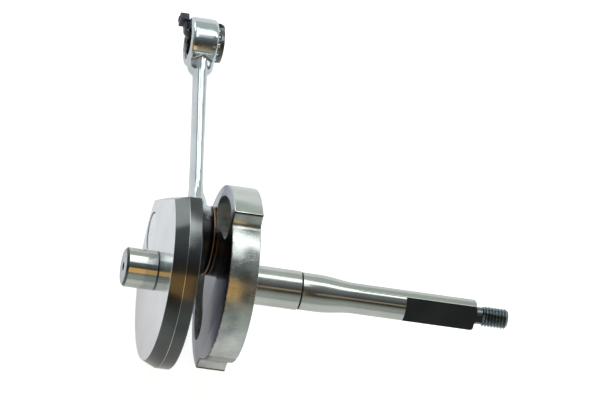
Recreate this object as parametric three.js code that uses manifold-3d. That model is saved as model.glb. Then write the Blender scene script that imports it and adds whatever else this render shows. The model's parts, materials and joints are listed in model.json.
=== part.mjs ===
// Built-up crankshaft of a small two-stroke engine, with its connecting rod, needle bearings,
// thrust washers and the nylon tie that holds the small-end bearing in transit.
// Millimetres. +X runs along the main axis towards the long threaded shaft, +Z is up, and the origin
// is on the main axis in the connecting rod's middle plane. The crankshaft lies on its webs.
import * as THREE from 'three';
import { mergeVertices } from 'three/addons/utils/BufferGeometryUtils.js';
import Module from 'manifold-3d';

const wasm = await Module();
wasm.setup();

// ---------- driving dimensions ----------
const PIN_ANGLE = -33.5;             // degrees from +Y towards +Z, crank pin seen from the long shaft
const ROD_ANGLE = -9.3;              // degrees from +Y towards +Z, connecting rod at rest
const CRANK_RADIUS = 24;
const ROD_LENGTH = 87;
const TIE_ANGLE = -16;               // degrees from the rod's own direction, tie round the small end

const WEB_RADIUS = 37.2;
const LEFT_WEB = {
  outerX: -16.8, coneX: -11.5, innerX: -6.3,
  faceRadius: 34.9, edge: 0.4,
  flatAngle: 51.5, flatDistance: 29.4, flatFaceDistance: 27.7,
};
const RIGHT_WEB = {
  innerX: 6.3, outerX: 17.8, radius: 36.8,
  cutRadius: 31.3, cutFrom: 97.5, cutTo: 250.5, stepFillet: 3, toothFillet: 7,
};
const POCKET = { radius: 25.5, halfWidth: 7, from: 40, to: 80, depth: 8 };

const STUB = { endX: -29.4, radius: 7.7, chamfer: 0.9, centreRadius: 1.6, centreDepth: 2.8 };
const SHAFT = {
  journalRadius: 7.7, sealX: 40.6, grooveWidth: 0.8, grooveDepth: 0.45, sealRadius: 7.35,
  taperStartX: 47.8, taperEndX: 62.2, thinRadius: 6, shoulderX: 110.2, shoulderRound: 1.7,
};
const FLATS = { fromX: 81.8, toX: 112, angle: 169.5, distance: 3.05 };
const THREAD = { radius: 3.95, root: 3.3, pitch: 1.25, startX: 112.9, endX: 123.1, reliefRadius: 3.35 };

const PIN = { radius: 8, fromX: -16.65, toX: 17.65, chamfer: 0.5 };
const PRESS_GAP = 0.05;              // radial, between the pin and the web holes

const BIG_END = { outer: 13.6, bore: 11, halfWidth: 4.8, round: 0.8 };
const SMALL_END = { outer: 9.9, bore: 7, halfWidth: 5.4, round: 1.5, neck: 13 };
const SHANK = {
  bigHalfThick: 2.55, smallHalfThick: 2.6, bigHalfWidth: 6.2, smallHalfWidth: 4.6,
  bigFlare: 6, smallFlare: 2.2,
};
const WASHER = { inner: 8.15, outer: 13.5, thick: 1, gap: 0.25 };

const BIG_CAGE = { inner: 8.5, outer: 10.6, fromX: -4.5, toX: 4.5 };
const BIG_ROLLER = { count: 12, pitchRadius: 9.5, radius: 1.44, length: 6.6, play: 0.06 };
const SMALL_CAGE = { inner: 5.25, outer: 6.85, fromX: -4.9, toX: 8.1 };
const SMALL_ROLLER = { count: 12, pitchRadius: 6, radius: 0.94, length: 9.6, play: 0.06 };

const TIE = {
  width: 2.5, thick: 1.1, innerY: 4.1, outerY: 10.7, leftX: -6.2, rightX: 9.1, cornerRadius: 1.4,
  headX: -6.1, headY: 11.6, headSize: [2.9, 3.4, 4.8], tail: 1,
};

const WEB_FACETS = 80;               // facets round the webs
const FINE = 48;                     // facets round the pin, eyes and rings
const COARSE = 28;                   // facets round the long shaft
const ROLLER_FACETS = 12;

const radians = THREE.MathUtils.degToRad;
const polar = (radius, degrees) =>
  new THREE.Vector2(radius * Math.cos(radians(degrees)), radius * Math.sin(radians(degrees)));

// ---------- solids ----------
function toManifold(geometry) {
  const bare = geometry.clone();
  bare.deleteAttribute('normal');
  bare.deleteAttribute('uv');
  const merged = mergeVertices(bare, 1e-4);
  const mesh = new wasm.Mesh({
    numProp: 3,
    vertProperties: new Float32Array(merged.attributes.position.array),
    triVerts: new Uint32Array(merged.index.array),
  });
  return new wasm.Manifold(mesh);
}

function toGeometry(manifold) {
  const mesh = manifold.getMesh();
  const geometry = new THREE.BufferGeometry();
  geometry.setAttribute('position', new THREE.BufferAttribute(new Float32Array(mesh.vertProperties), 3));
  geometry.setIndex(new THREE.BufferAttribute(new Uint32Array(mesh.triVerts), 1));
  geometry.computeVertexNormals();
  return geometry;
}

// A solid of revolution about +X from [x, radius] pairs that run from low x to high x.
function turned(profile, segments = FINE) {
  const points = profile.map(([x, radius]) => new THREE.Vector2(radius, x));
  return new THREE.LatheGeometry(points, segments).rotateZ(-Math.PI / 2);
}

// A closed ring about +X from inner and outer radius, with chamfered outer edges.
function ring(fromX, toX, inner, outer, edge = 0.2, segments = FINE) {
  return turned([
    [fromX, inner], [fromX, outer - edge], [fromX + edge, outer],
    [toX - edge, outer], [toX, outer - edge], [toX, inner], [fromX, inner],
  ], segments);
}

// A plane outline in (Y, Z), extruded from one x to another.
function slab(shape, fromX, toX, curveSegments = 12) {
  const geometry = new THREE.ExtrudeGeometry(shape, { depth: toX - fromX, bevelEnabled: false, curveSegments });
  const basis = new THREE.Matrix4().makeBasis(
    new THREE.Vector3(0, 1, 0), new THREE.Vector3(0, 0, 1), new THREE.Vector3(1, 0, 0));
  return geometry.applyMatrix4(basis).translate(fromX, 0, 0);
}

function block(sizeX, sizeY, sizeZ, x, y, z) {
  return new THREE.BoxGeometry(sizeX, sizeY, sizeZ).translate(x, y, z);
}

function pinHole(fromX, toX) {
  const radius = PIN.radius + PRESS_GAP;
  const hole = turned([[fromX, 0], [fromX, radius], [toX, radius], [toX, 0]]);
  return toManifold(hole.translate(0, CRANK_RADIUS, 0));
}

// ---------- left crank half: ground stub and full web with a flat ----------
function leftCrankHalf() {
  const web = LEFT_WEB;
  const body = toManifold(turned([
    [STUB.endX + STUB.centreDepth, 0],
    [STUB.endX, STUB.centreRadius],
    [STUB.endX, STUB.radius - STUB.chamfer],
    [STUB.endX + STUB.chamfer, STUB.radius],
    [web.outerX, STUB.radius],
    [web.outerX, web.faceRadius],
    [web.coneX, WEB_RADIUS],
    [web.innerX - web.edge, WEB_RADIUS],
    [web.innerX, WEB_RADIUS - web.edge],
    [web.innerX, 0],
  ], WEB_FACETS));
  // The flat cuts the rim square and leans in with the cone towards the outer face.
  const reach = 6;
  const lean = (web.flatDistance - web.flatFaceDistance) / (web.coneX - web.outerX);
  const flat = new THREE.Shape([
    new THREE.Vector2(web.innerX + reach, web.flatDistance),
    new THREE.Vector2(web.innerX + reach, WEB_RADIUS + reach),
    new THREE.Vector2(web.outerX - reach, WEB_RADIUS + reach),
    new THREE.Vector2(web.outerX - reach, web.flatFaceDistance - lean * reach),
    new THREE.Vector2(web.coneX, web.flatDistance),
  ]);
  const cutter = new THREE.ExtrudeGeometry(flat, { depth: 4 * WEB_RADIUS, bevelEnabled: false });
  cutter.translate(0, 0, -2 * WEB_RADIUS).rotateX(radians(web.flatAngle));
  return toGeometry(body.subtract(toManifold(cutter)).subtract(pinHole(web.outerX - 1, web.innerX + 1)));
}

// ---------- right crank half: rotary-valve web and long shaft ----------
// Full radius on the pin's side, reduced radius on the other, with a concave fillet into each step.
function rightWebOutline() {
  const web = RIGHT_WEB;
  const outline = new THREE.Shape();
  const filletAngle = (length) => THREE.MathUtils.radToDeg(length / web.cutRadius);
  const stepFoot = polar(web.cutRadius, web.cutFrom);
  const stepTop = polar(web.cutRadius + web.stepFillet, web.cutFrom);
  const cutStart = web.cutFrom + filletAngle(web.stepFillet);
  const cutStartPoint = polar(web.cutRadius, cutStart);
  const toothFoot = polar(web.cutRadius, web.cutTo);
  const toothTop = polar((web.cutRadius + web.radius) / 2, web.cutTo);
  const cutEnd = web.cutTo - filletAngle(web.toothFillet);
  outline.absarc(0, 0, web.radius, radians(web.cutTo - 360), radians(web.cutFrom), false);
  outline.lineTo(stepTop.x, stepTop.y);
  outline.quadraticCurveTo(stepFoot.x, stepFoot.y, cutStartPoint.x, cutStartPoint.y);
  outline.absarc(0, 0, web.cutRadius, radians(cutStart), radians(cutEnd), false);
  outline.quadraticCurveTo(toothFoot.x, toothFoot.y, toothTop.x, toothTop.y);
  return outline;
}

function pocketOutline(side) {
  const shape = new THREE.Shape();
  const { radius, halfWidth, from, to } = POCKET;
  const start = side > 0 ? from : -to;
  const end = side > 0 ? to : -from;
  const head = polar(radius, end);
  const tail = polar(radius, start);
  shape.absarc(0, 0, radius + halfWidth, radians(start), radians(end), false);
  shape.absarc(head.x, head.y, halfWidth, radians(end), radians(end + 180), false);
  shape.absarc(0, 0, radius - halfWidth, radians(end), radians(start), true);
  shape.absarc(tail.x, tail.y, halfWidth, radians(start + 180), radians(start + 360), false);
  return shape;
}

function threadProfile() {
  const { radius, root, pitch, startX, endX } = THREAD;
  const crests = Math.floor((endX - startX - 0.6) / pitch);
  const profile = [];
  for (let turn = 0; turn < crests; turn += 1) {
    const x = startX + turn * pitch;
    profile.push([x, root], [x + 0.5 * pitch, radius], [x + 0.62 * pitch, radius]);
  }
  const last = startX + crests * pitch;
  return profile.concat([[last, root], [last + 0.3, root + 0.3], [endX - 0.6, radius - 0.5],
    [endX, radius - 1.1], [endX, 0]]);
}

function blend(fromX, toX, fromRadius, toRadius, steps) {
  const points = [];
  for (let i = 0; i <= steps; i += 1) {
    const t = i / steps;
    const ease = t * t * (3 - 2 * t);
    points.push([fromX + (toX - fromX) * t, fromRadius + (toRadius - fromRadius) * ease]);
  }
  return points;
}

function rightCrankHalf() {
  const web = RIGHT_WEB;
  const s = SHAFT;
  const embed = web.innerX + POCKET.depth + 1;
  const shaft = turned([
    [embed, 0], [embed, s.journalRadius],
    [s.sealX - s.grooveWidth, s.journalRadius],
    [s.sealX - s.grooveWidth + 0.15, s.journalRadius - s.grooveDepth],
    [s.sealX - 0.1, s.journalRadius - s.grooveDepth],
    [s.sealX, s.sealRadius],
    ...blend(s.taperStartX, s.taperEndX, s.sealRadius, s.thinRadius, 6),
    ...blend(s.shoulderX - s.shoulderRound, s.shoulderX, s.thinRadius, s.thinRadius - 0.8, 2),
    [s.shoulderX, THREAD.reliefRadius],
    [THREAD.startX - 0.2, THREAD.reliefRadius],
    ...threadProfile(),
  ], COARSE);
  let body = toManifold(slab(rightWebOutline(), web.innerX, web.outerX, WEB_FACETS / 2)).add(toManifold(shaft));
  for (const side of [1, -1]) {
    const pocket = slab(pocketOutline(side), web.innerX - 1, web.innerX + POCKET.depth);
    body = body.subtract(toManifold(pocket));
  }
  const length = FLATS.toX - FLATS.fromX;
  const deep = 8;
  for (const angle of [FLATS.angle, FLATS.angle + 180]) {
    const cutter = block(length, deep, 4 * deep, FLATS.fromX + length / 2, FLATS.distance + deep / 2, 0);
    body = body.subtract(toManifold(cutter.rotateX(radians(angle))));
  }
  return toGeometry(body.subtract(pinHole(web.innerX - 1, web.outerX + 1)));
}

// ---------- crank pin, thrust washers ----------
function crankPin() {
  const { radius, fromX, toX, chamfer } = PIN;
  return turned([
    [fromX, 0], [fromX, radius - chamfer], [fromX + chamfer, radius],
    [toX - chamfer, radius], [toX, radius - chamfer], [toX, 0],
  ]);
}

function thrustWasher(side) {
  const near = side < 0 ? LEFT_WEB.innerX + WASHER.gap : RIGHT_WEB.innerX - WASHER.gap - WASHER.thick;
  return ring(near, near + WASHER.thick, WASHER.inner, WASHER.outer, 0.15, 40);
}

// ---------- connecting rod ----------
function eye(sizes, segments) {
  const { outer, halfWidth, round } = sizes;
  const steps = 2;
  const profile = [[-halfWidth, 0]];
  for (const side of [-1, 1]) {
    for (let i = 0; i <= steps; i += 1) {
      const angle = (Math.PI / 2) * (side < 0 ? i / steps : 1 - i / steps);
      profile.push([
        side * (halfWidth - round + round * Math.cos(angle)),
        outer - round + round * Math.sin(angle),
      ]);
    }
  }
  profile.push([halfWidth, 0]);
  return turned(profile, segments);
}

// An oval bar between two stations along +Y, lofted from one half-thickness and half-width to another.
function ovalBar(fromY, toY, fromThick, toThick, fromWidth, toWidth) {
  const geometry = new THREE.CylinderGeometry(1, 1, toY - fromY, 24).translate(0, (fromY + toY) / 2, 0);
  const position = geometry.attributes.position;
  for (let i = 0; i < position.count; i += 1) {
    const t = (position.getY(i) - fromY) / (toY - fromY);
    position.setX(i, position.getX(i) * THREE.MathUtils.lerp(fromThick, toThick, t));
    position.setZ(i, position.getZ(i) * THREE.MathUtils.lerp(fromWidth, toWidth, t));
  }
  return toManifold(geometry);
}

function boreHole(radius, halfWidth, y, segments) {
  const reach = halfWidth + 1;
  const hole = turned([[-reach, 0], [-reach, radius], [reach, radius], [reach, 0]], segments);
  return toManifold(hole.translate(0, y, 0));
}

function connectingRod() {
  const s = SHANK;
  const bigEdge = BIG_END.outer - 2;
  const neck = ROD_LENGTH - SMALL_END.neck;
  const insideEye = ROD_LENGTH - SMALL_END.outer + 1.5;
  return toGeometry(toManifold(eye(BIG_END, FINE))
    .add(toManifold(eye(SMALL_END, FINE).translate(0, ROD_LENGTH, 0)))
    .add(ovalBar(bigEdge, neck, s.bigHalfThick, s.smallHalfThick, s.bigHalfWidth, s.smallHalfWidth))
    .add(ovalBar(bigEdge, bigEdge + s.bigFlare, BIG_END.halfWidth - 0.5, s.bigHalfThick,
      s.bigHalfWidth + 1.6, s.bigHalfWidth))
    .add(ovalBar(neck - 0.5, neck + s.smallFlare, s.smallHalfThick, SMALL_END.halfWidth - 0.3,
      s.smallHalfWidth, s.smallHalfWidth + 1.2))
    .add(ovalBar(neck + s.smallFlare - 0.1, insideEye, SMALL_END.halfWidth - 0.3, SMALL_END.halfWidth - 0.3,
      s.smallHalfWidth + 1.2, s.smallHalfWidth + 2.4))
    .subtract(boreHole(BIG_END.bore, BIG_END.halfWidth, 0, FINE))
    .subtract(boreHole(SMALL_END.bore, SMALL_END.halfWidth, ROD_LENGTH, FINE)));
}

// ---------- needle cages and rollers ----------
function cageMiddle(cage) {
  return (cage.fromX + cage.toX) / 2;
}

function needleCage(cage, roller) {
  let body = toManifold(ring(cage.fromX, cage.toX, cage.inner, cage.outer, 0.2, 36));
  const wide = 2 * (roller.radius + roller.play);
  const long = roller.length + 0.4;
  const deep = 2 * (cage.outer - cage.inner);
  for (let i = 0; i < roller.count; i += 1) {
    const window_ = block(long, deep, wide, cageMiddle(cage), roller.pitchRadius, 0);
    body = body.subtract(toManifold(window_.rotateX((2 * Math.PI * i) / roller.count)));
  }
  return toGeometry(body);
}

function needleRoller(cage, roller, index) {
  const middle = cageMiddle(cage);
  const half = roller.length / 2;
  const body = turned([
    [middle - half, 0], [middle - half, roller.radius], [middle + half, roller.radius], [middle + half, 0],
  ], ROLLER_FACETS);
  return body.translate(0, roller.pitchRadius, 0).rotateX((2 * Math.PI * index) / roller.count);
}

// ---------- nylon tie through the small-end bearing ----------
function roundedRect(lowX, lowY, highX, highY, radius, PathClass) {
  const path = new PathClass();
  path.moveTo(lowX + radius, lowY);
  path.absarc(highX - radius, lowY + radius, radius, -Math.PI / 2, 0, false);
  path.absarc(highX - radius, highY - radius, radius, 0, Math.PI / 2, false);
  path.absarc(lowX + radius, highY - radius, radius, Math.PI / 2, Math.PI, false);
  path.absarc(lowX + radius, lowY + radius, radius, Math.PI, 1.5 * Math.PI, false);
  return path;
}

function bearingTie() {
  const t = TIE;
  const half = t.thick / 2;
  const loop = roundedRect(t.leftX - half, t.innerY - half, t.rightX + half, t.outerY + half,
    t.cornerRadius + half, THREE.Shape);
  loop.holes.push(roundedRect(t.leftX + half, t.innerY + half, t.rightX - half, t.outerY - half,
    t.cornerRadius - half, THREE.Path));
  const strap = new THREE.ExtrudeGeometry(loop, { depth: t.width, bevelEnabled: false, curveSegments: 6 });
  const tailX = t.headX - t.headSize[0] / 2 - t.tail / 2 + 0.1;
  const tail = block(t.tail + 0.2, t.thick, t.width, tailX, t.outerY, 0);
  return toGeometry(toManifold(strap.translate(0, 0, -t.width / 2))
    .add(toManifold(block(...t.headSize, t.headX, t.headY, 0)))
    .add(toManifold(tail)));
}

// ---------- materials and assembly ----------
const steel = (color, roughness) => new THREE.MeshStandardMaterial({ color, roughness, metalness: 1 });
const FINISH = {
  left_crank_half: () => steel(0xaeb2b6, 0.3),
  right_crank_half: () => steel(0xa6a8a8, 0.18),
  crank_pin: () => steel(0xb8bcc0, 0.2),
  connecting_rod: () => steel(0xc8ccce, 0.15),
  washer: () => new THREE.MeshStandardMaterial({ color: 0xb98a52, roughness: 0.3, metalness: 1 }),
  cage: () => steel(0x34373a, 0.45),
  roller: () => steel(0xd0d4d8, 0.12),
  tie: () => new THREE.MeshStandardMaterial({ color: 0x141821, roughness: 0.5, metalness: 0 }),
};

function named(name, geometry, material) {
  const mesh = new THREE.Mesh(geometry, material);
  mesh.name = name;
  return mesh;
}

function bearing(name, cage, roller) {
  const group = new THREE.Group();
  group.add(named(`${name}_cage`, needleCage(cage, roller), FINISH.cage()));
  for (let i = 0; i < roller.count; i += 1) {
    const label = `${name}_roller_${String(i + 1).padStart(2, '0')}`;
    group.add(named(label, needleRoller(cage, roller, i), FINISH.roller()));
  }
  return group;
}

const crank = new THREE.Group();
crank.rotation.x = radians(PIN_ANGLE);
crank.add(named('left_crank_half', leftCrankHalf(), FINISH.left_crank_half()));
crank.add(named('right_crank_half', rightCrankHalf(), FINISH.right_crank_half()));

const onPin = new THREE.Group();
onPin.position.set(0, CRANK_RADIUS, 0);
onPin.add(named('crank_pin', crankPin(), FINISH.crank_pin()));
onPin.add(named('left_thrust_washer', thrustWasher(-1), FINISH.washer()));
onPin.add(named('right_thrust_washer', thrustWasher(1), FINISH.washer()));
onPin.add(bearing('big_end', BIG_CAGE, BIG_ROLLER));
crank.add(onPin);

const rod = new THREE.Group();
const pinCentre = polar(CRANK_RADIUS, PIN_ANGLE);
rod.position.set(0, pinCentre.x, pinCentre.y);
rod.rotation.x = radians(ROD_ANGLE);
rod.add(named('connecting_rod', connectingRod(), FINISH.connecting_rod()));

const smallEnd = new THREE.Group();
smallEnd.position.set(0, ROD_LENGTH, 0);
smallEnd.add(bearing('small_end', SMALL_CAGE, SMALL_ROLLER));
const tie = named('bearing_tie', bearingTie(), FINISH.tie());
tie.rotation.x = radians(TIE_ANGLE);
smallEnd.add(tie);
rod.add(smallEnd);

const crankshaft = new THREE.Group();
crankshaft.add(crank, rod);

export default crankshaft;
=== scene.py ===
"""Looks of a built-up two-stroke crankshaft with its connecting rod, bearings and transit tie.

Every piece is modelled in millimetres in its own joint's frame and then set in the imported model's frame,
in metres: +X along the main axis towards the long threaded shaft, +Z up, origin on the main axis.
"""

import json
import logging
import math
from dataclasses import dataclass
from enum import Enum
from typing import Callable, Iterable, Optional, Sequence

import bmesh
import bpy
from mathutils import Matrix, Vector


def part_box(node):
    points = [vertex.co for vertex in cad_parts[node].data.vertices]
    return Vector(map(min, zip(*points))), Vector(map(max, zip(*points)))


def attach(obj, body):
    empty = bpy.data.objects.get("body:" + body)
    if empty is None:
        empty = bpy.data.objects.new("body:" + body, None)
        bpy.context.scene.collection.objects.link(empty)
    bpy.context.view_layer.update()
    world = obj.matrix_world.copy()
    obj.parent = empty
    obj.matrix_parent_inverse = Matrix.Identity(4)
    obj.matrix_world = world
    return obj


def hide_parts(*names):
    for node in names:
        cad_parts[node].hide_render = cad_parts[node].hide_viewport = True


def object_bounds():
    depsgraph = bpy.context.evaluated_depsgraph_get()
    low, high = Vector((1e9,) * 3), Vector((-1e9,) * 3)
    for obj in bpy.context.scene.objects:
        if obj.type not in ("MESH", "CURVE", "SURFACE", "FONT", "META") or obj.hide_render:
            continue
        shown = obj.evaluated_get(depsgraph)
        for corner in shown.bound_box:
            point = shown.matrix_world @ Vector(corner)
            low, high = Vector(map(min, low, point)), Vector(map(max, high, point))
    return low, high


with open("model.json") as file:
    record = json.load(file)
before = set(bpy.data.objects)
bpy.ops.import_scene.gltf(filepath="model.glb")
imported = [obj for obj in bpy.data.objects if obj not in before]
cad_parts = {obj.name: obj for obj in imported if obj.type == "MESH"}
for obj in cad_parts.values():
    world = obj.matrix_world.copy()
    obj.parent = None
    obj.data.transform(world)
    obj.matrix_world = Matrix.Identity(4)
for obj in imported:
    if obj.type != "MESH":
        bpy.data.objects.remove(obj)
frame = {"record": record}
CAD_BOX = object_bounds()

LOG = logging.getLogger("crankshaft")
MM = 0.001
SHARP_ANGLE = math.radians(32)
BEVEL_ANGLE = math.radians(35)
STRAIGHT_HALF_ANGLE = math.radians(89.5)
LONGEST_SETBACK = 0.49
MERGE_DISTANCE = 1e-4

Point = tuple[float, float]
Corner = tuple[float, float, float]

# The valve web's rim in millimetres, with its step's direction from the crank pin. Its dirt and painted shade
# follow them.
VALVE_INNER = 6.3
VALVE_RADIUS = 36.8
CUTAWAY_RADIUS = 31.3
STEP_ANGLE = math.radians(97.5)


# ---------------------------------------------------------------- frame

class Cut(Enum):
    """How one solid is combined with another."""

    JOIN = "UNION"
    REMOVE = "DIFFERENCE"


class Side(Enum):
    """The two sides of the crankshaft along the main axis."""

    LEFT = -1
    RIGHT = 1


def joint_centre(name: str) -> Vector:
    """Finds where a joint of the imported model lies.

    Args:
        name: the joint's name in the record.

    Returns:
        Its point on the axis, in metres.
    """
    joints = frame["record"]["behaviour"]["joints"]
    return Vector(next(joint["pos_m"] for joint in joints if joint["name"] == name))


def local_frame(centre: Vector, angle: float) -> Matrix:
    """Makes the matrix from a part's own millimetres to the model's metres.

    Args:
        centre: the part's origin in the model, in metres.
        angle: its turn about +X, in radians.

    Returns:
        The placing matrix, with the scale from millimetres.
    """
    return Matrix.Translation(centre) @ Matrix.Rotation(angle, 4, "X") @ Matrix.Scale(MM, 4)


PIN_CENTRE = joint_centre("conrod_swing")
EYE_CENTRE = joint_centre("small_end_cage_turn")
PIN_ANGLE = math.atan2(PIN_CENTRE.z, PIN_CENTRE.y)
CRANK_RADIUS = math.hypot(PIN_CENTRE.y, PIN_CENTRE.z) / MM
ROD_ANGLE = math.atan2(EYE_CENTRE.z - PIN_CENTRE.z, EYE_CENTRE.y - PIN_CENTRE.y)
ROD_LENGTH = math.hypot(EYE_CENTRE.y - PIN_CENTRE.y, EYE_CENTRE.z - PIN_CENTRE.z) / MM
TIE_ANGLE = ROD_ANGLE - math.radians(16)

CRANK_FRAME = local_frame(Vector((0, 0, 0)), PIN_ANGLE)
PIN_FRAME = local_frame(Vector((0, PIN_CENTRE.y, PIN_CENTRE.z)), PIN_ANGLE)
ROD_FRAME = local_frame(Vector((0, PIN_CENTRE.y, PIN_CENTRE.z)), ROD_ANGLE)
EYE_FRAME = local_frame(Vector((0, EYE_CENTRE.y, EYE_CENTRE.z)), ROD_ANGLE)
TIE_FRAME = local_frame(Vector((0, EYE_CENTRE.y, EYE_CENTRE.z)), TIE_ANGLE)


# ---------------------------------------------------------------- mesh tools

def rounded(corners: Sequence[Corner], steps: int = 4) -> list[Point]:
    """Rounds the corners of a turning profile.

    Args:
        corners: (x, radius, round) triples, where round is the corner's fillet radius or 0.
        steps: how many segments a fillet has.

    Returns:
        The profile's points, with each fillet as an arc.
    """
    points: list[Point] = []
    for index, (x, radius, fillet) in enumerate(corners):
        if fillet <= 0 or index in (0, len(corners) - 1):
            points.append((x, radius))
            continue
        here = Vector((x, radius))
        before = Vector(corners[index - 1][:2]) - here
        after = Vector(corners[index + 1][:2]) - here
        half = before.angle(after) / 2
        if half > STRAIGHT_HALF_ANGLE:
            points.append((x, radius))
            continue
        longest = LONGEST_SETBACK * min(before.length, after.length)
        setback = min(fillet / math.tan(half), longest)
        bend = setback * math.tan(half)
        start = here + before.normalized() * setback
        end = here + after.normalized() * setback
        middle = here + (before.normalized() + after.normalized()).normalized() * (bend / math.sin(half))
        sweep = (start - middle).angle_signed(end - middle)
        for step in range(steps + 1):
            spoke = (start - middle).copy()
            spoke.rotate(Matrix.Rotation(-sweep * step / steps, 2))
            points.append(tuple(middle + spoke))
    return points


def arc(centre: Vector, radius: float, start: float, sweep: float, steps: int = 24) -> list[Vector]:
    """Gives the points of an arc in a plane across the X axis.

    Args:
        centre: its centre.
        radius: its radius.
        start: the direction of its first point from +Y towards +Z, in radians.
        sweep: the angle to its last point.
        steps: how many steps it has.

    Returns:
        Its points, with both ends.
    """
    angles = [start + sweep * step / steps for step in range(steps + 1)]
    return [centre + Vector((0, math.cos(angle), math.sin(angle))) * radius for angle in angles]


def turned(profile: Sequence[Point], segments: int, closed: bool = False) -> bmesh.types.BMesh:
    """Turns a profile about the X axis.

    Args:
        profile: (x, radius) points, from one end to the other.
        segments: how many steps the full turn has.
        closed: True for a ring, whose profile ends where it starts.

    Returns:
        The solid, with its poles merged.
    """
    bm = bmesh.new()
    verts = [bm.verts.new((x, radius, 0)) for x, radius in profile]
    pairs = list(zip(verts, verts[1:]))
    if closed:
        pairs.append((verts[-1], verts[0]))
    edges = [bm.edges.new(pair) for pair in pairs]
    bmesh.ops.spin(bm, geom=verts + edges, cent=(0, 0, 0), axis=(1, 0, 0), angle=2 * math.pi,
                   steps=segments, use_merge=True)
    tidy(bm)
    return bm


def tidy(bm: bmesh.types.BMesh) -> None:
    """Merges doubles and turns every face outwards."""
    bmesh.ops.remove_doubles(bm, verts=bm.verts, dist=MERGE_DISTANCE)
    bmesh.ops.dissolve_degenerate(bm, edges=bm.edges, dist=MERGE_DISTANCE)
    bmesh.ops.recalc_face_normals(bm, faces=bm.faces)


def soften(bm: bmesh.types.BMesh, offset: float, segments: int) -> None:
    """Bevels the sharp edges.

    Args:
        bm: the solid.
        offset: the bevel's width in millimetres.
        segments: its segments.
    """
    edges = [edge for edge in bm.edges
             if len(edge.link_faces) == 2 and edge.calc_face_angle(0) > BEVEL_ANGLE]
    bmesh.ops.bevel(bm, geom=edges, offset=offset, segments=segments, profile=0.5, affect="EDGES",
                    material=-1, clamp_overlap=True)


def bore_tool(faces: Point, radius: float, chamfer: float, y: float, segments: int) -> bmesh.types.BMesh:
    """Makes the tool for a bore along X, with a chamfer at both mouths.

    Args:
        faces: the x of the two faces that the bore opens in.
        radius: the bore's radius.
        chamfer: the width of its chamfers.
        y: where its axis is.
        segments: how many steps its full turn has.

    Returns:
        The tool.
    """
    low, high = faces
    reach = 1.0
    mouth = radius + chamfer + reach
    tool = turned([
        (low - reach, 0), (low - reach, mouth), (low + chamfer, radius),
        (high - chamfer, radius), (high + reach, mouth), (high + reach, 0),
    ], segments)
    bmesh.ops.translate(tool, vec=(0, y, 0), verts=tool.verts)
    return tool


def block(size: Corner, centre: Corner, turn: float = 0.0, bevel: float = 0.0) -> bmesh.types.BMesh:
    """Makes a block, turned about the X axis after it is placed.

    Args:
        size: its three sides.
        centre: its centre before the turn.
        turn: the turn about +X, in radians.
        bevel: the width of the bevel on its edges, or 0.

    Returns:
        The block.
    """
    bm = bmesh.new()
    place = Matrix.Rotation(turn, 4, "X") @ Matrix.Translation(centre) @ Matrix.Diagonal((*size, 1))
    bmesh.ops.create_cube(bm, size=1, matrix=place)
    if bevel:
        bmesh.ops.bevel(bm, geom=bm.edges[:], offset=bevel, segments=3, profile=0.5,
                        affect="EDGES", material=-1)
    return bm


def loft(rings: Sequence[Sequence[Vector]], closed: bool = False) -> bmesh.types.BMesh:
    """Bridges a row of rings that all have the same number of points.

    Args:
        rings: the rings' points, in order.
        closed: True if the last ring joins the first.

    Returns:
        The closed solid.
    """
    bm = bmesh.new()
    loops = []
    for ring in rings:
        verts = [bm.verts.new(point) for point in ring]
        loops.append([bm.edges.new(pair) for pair in zip(verts, verts[1:] + verts[:1])])
    pairs = list(zip(loops, loops[1:]))
    if closed:
        pairs.append((loops[-1], loops[0]))
    for first, second in pairs:
        bmesh.ops.bridge_loops(bm, edges=first + second)
    if not closed:
        for ends in (loops[0], loops[-1]):
            bmesh.ops.contextual_create(bm, geom=ends)
    tidy(bm)
    return bm


def as_object(bm: bmesh.types.BMesh, name: str) -> bpy.types.Object:
    """Puts a mesh in a new object of the scene, and frees the bmesh."""
    mesh = bpy.data.meshes.new(name)
    bm.to_mesh(mesh)
    bm.free()
    obj = bpy.data.objects.new(name, mesh)
    bpy.context.collection.objects.link(obj)
    return obj


def discard(obj: bpy.types.Object) -> None:
    """Removes an object and its mesh."""
    mesh = obj.data
    bpy.data.objects.remove(obj)
    bpy.data.meshes.remove(mesh)


def settled(obj: bpy.types.Object) -> bmesh.types.BMesh:
    """Applies an object's modifiers.

    Args:
        obj: the object, which is removed.

    Returns:
        The mesh that its modifiers give.
    """
    bm = bmesh.new()
    bm.from_object(obj, bpy.context.evaluated_depsgraph_get())
    discard(obj)
    return bm


def combined(solid: bmesh.types.BMesh, tools: Iterable[bmesh.types.BMesh], cut: Cut) -> bmesh.types.BMesh:
    """Joins solids to a solid, or removes them from it.

    Args:
        solid: the solid that is worked on.
        tools: the other solids, which are used up.
        cut: join or remove.

    Returns:
        The new solid.
    """
    work = as_object(solid, "work")
    others = [as_object(tool, "tool") for tool in tools]
    for other in others:
        modifier = work.modifiers.new("combine", "BOOLEAN")
        modifier.operation = cut.value
        modifier.solver = "EXACT"
        modifier.object = other
    result = settled(work)
    for other in others:
        discard(other)
    tidy(result)
    return result


@dataclass(frozen=True)
class Placing:
    """Where a finished piece belongs: its frame, the CAD body it rides on, its slot, its CAD nodes."""

    matrix: Matrix
    body: str
    slot: str
    nodes: tuple[str, ...]


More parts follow.
